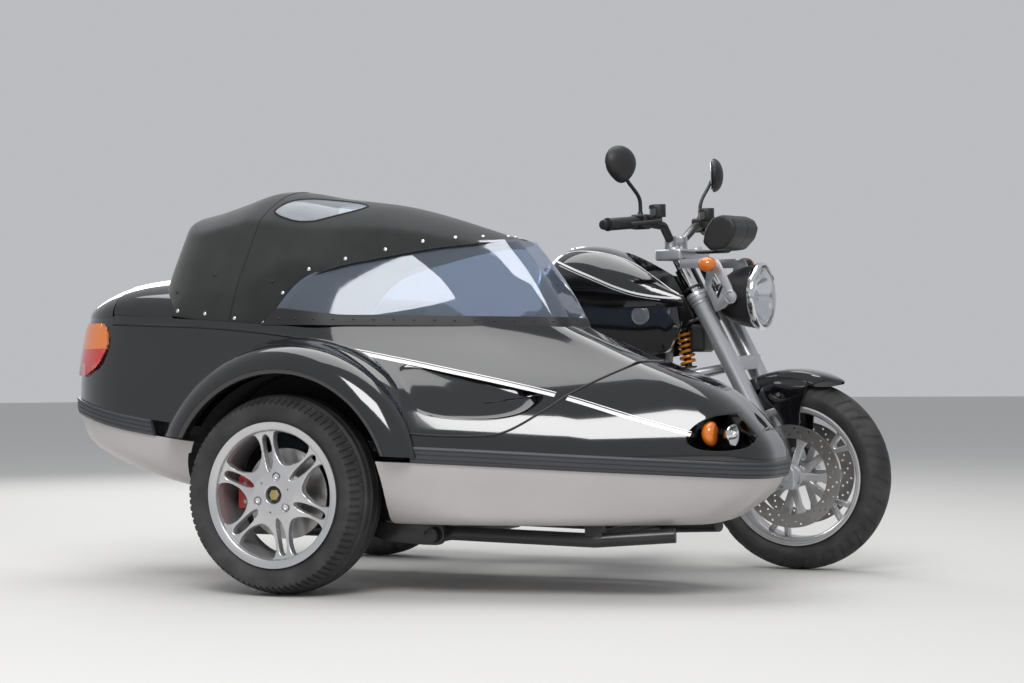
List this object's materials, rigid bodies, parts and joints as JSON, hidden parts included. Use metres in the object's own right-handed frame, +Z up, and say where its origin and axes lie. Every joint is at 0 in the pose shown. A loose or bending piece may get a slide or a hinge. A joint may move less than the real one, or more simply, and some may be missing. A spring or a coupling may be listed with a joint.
{
  "type": "motorcycle with sidecar",
  "caption": "Boxer-twin roadster with a closed sidecar on its right: belt line, fabric top, wraparound screen, arched wheel cover and alloy wheels.",
  "frame": {"origin": "on the ground under the middle of the whole outfit's box", "axes": "+X forward, +Y to the rider's left, +Z up; the sidecar is on the right, towards -Y"},
  "size_m": [2.3541, 1.726, 1.3543],
  "materials": {
    "belt_rubber": "ribbed, satin",
    "black_plastic": "moulded, fine grain",
    "cabin_trim": "dark grey",
    "caliper_gold": "satin",
    "caliper_red": "gloss red",
    "canvas": "coated black weave",
    "chrome": "polished",
    "clear_screen": "clear, gloss",
    "disc_steel": "ground",
    "engine_cast": "cast, bead blasted",
    "exhaust_steel": "polished steel",
    "fork_silver": "satin silver",
    "frame_black": "satin black",
    "gloss_black": "gloss lacquer",
    "lamp_amber": "translucent amber",
    "lamp_clear": "clear fluted lens",
    "lamp_red": "translucent red and amber",
    "seat_cover": "black, stitched",
    "silver_paint": "satin metallic",
    "spring_orange": "gloss",
    "tyre_rubber": "black rubber",
    "wheel_silver": "silver lacquer"
  },
  "bodies": {
    "outfit": {"main_frame": "frame_black", "engine_block": "engine_cast", "cylinders": "engine_cast", "fuel_tank": "gloss_black", "tank_sides": "gloss_black", "rider_seat": "seat_cover", "tail_cover": "gloss_black", "rear_mudguard": "black_plastic", "bike_tail_lamp": "lamp_red", "swing_arm": "frame_black", "wishbone": "fork_silver", "spring_struts": "spring_orange", "front_cowl": "black_plastic", "exhaust_system": "exhaust_steel", "foot_rests": "frame_black", "sidecar_frame": "frame_black", "sidecar_swing_arm": "frame_black", "sidecar_caliper": "caliper_red", "lower_body": "silver_paint", "upper_body": "gloss_black", "belt_strip": "belt_rubber", "wheel_arch": "gloss_black", "passenger_seat": "cabin_trim", "nose_lamps": "lamp_amber", "tail_lamps": "lamp_red"},
    "fork": {"fork_sliders": "fork_silver", "fork_bridge": "fork_silver", "handlebar": "frame_black", "grips_and_controls": "black_plastic", "brake_reservoirs": "black_plastic", "mirrors": "black_plastic", "headlamp_shell": "chrome", "headlamp_lens": "lamp_clear", "lamp_brackets": "fork_silver", "instruments": "black_plastic", "front_indicators": "lamp_amber", "front_mudguard": "gloss_black", "front_calipers": "caliper_gold"},
    "front_wheel": {"front_tyre": "tyre_rubber", "front_rim": "wheel_silver", "front_discs": "disc_steel"},
    "rear_wheel": {"rear_tyre": "tyre_rubber", "rear_rim": "wheel_silver"},
    "sidecar_wheel": {"sidecar_tyre": "tyre_rubber", "sidecar_rim": "wheel_silver", "sidecar_disc": "disc_steel"},
    "canopy": {"canopy_cover": "gloss_black", "windscreen": "clear_screen", "soft_top": "canvas"},
    "boot_lid_body": {"boot_lid": "gloss_black"}
  },
  "joints": [
    {"name": "steering", "type": "hinge", "parent": "outfit", "child": "fork", "pos_m": [0.997, 0.422, 0], "axis": [-0.4555, 0, 0.8902], "range_deg": [-32, 42]},
    {"name": "front_wheel_spin", "type": "hinge", "parent": "fork", "child": "front_wheel", "pos_m": [0.8779, 0.41932, 0.29995], "axis": [0.0776, 0.9962, 0.0397], "continuous": true},
    {"name": "rear_wheel_spin", "type": "hinge", "parent": "outfit", "child": "rear_wheel", "pos_m": [-0.612, 0.422, 0.315], "axis": [0, 1, 0], "continuous": true},
    {"name": "sidecar_wheel_spin", "type": "hinge", "parent": "outfit", "child": "sidecar_wheel", "pos_m": [-0.312, -0.75, 0.286], "axis": [0, 1, 0], "continuous": true},
    {"name": "canopy_hinge", "type": "hinge", "parent": "outfit", "child": "canopy", "pos_m": [0.684, -0.368, 0.658], "axis": [0, 1, 0], "range_deg": [0, 50]},
    {"name": "boot_lid_hinge", "type": "hinge", "parent": "outfit", "child": "boot_lid_body", "pos_m": [-0.957, -0.368, 0.918], "axis": [0, 1, 0], "range_deg": [0, 60]}
  ]
}
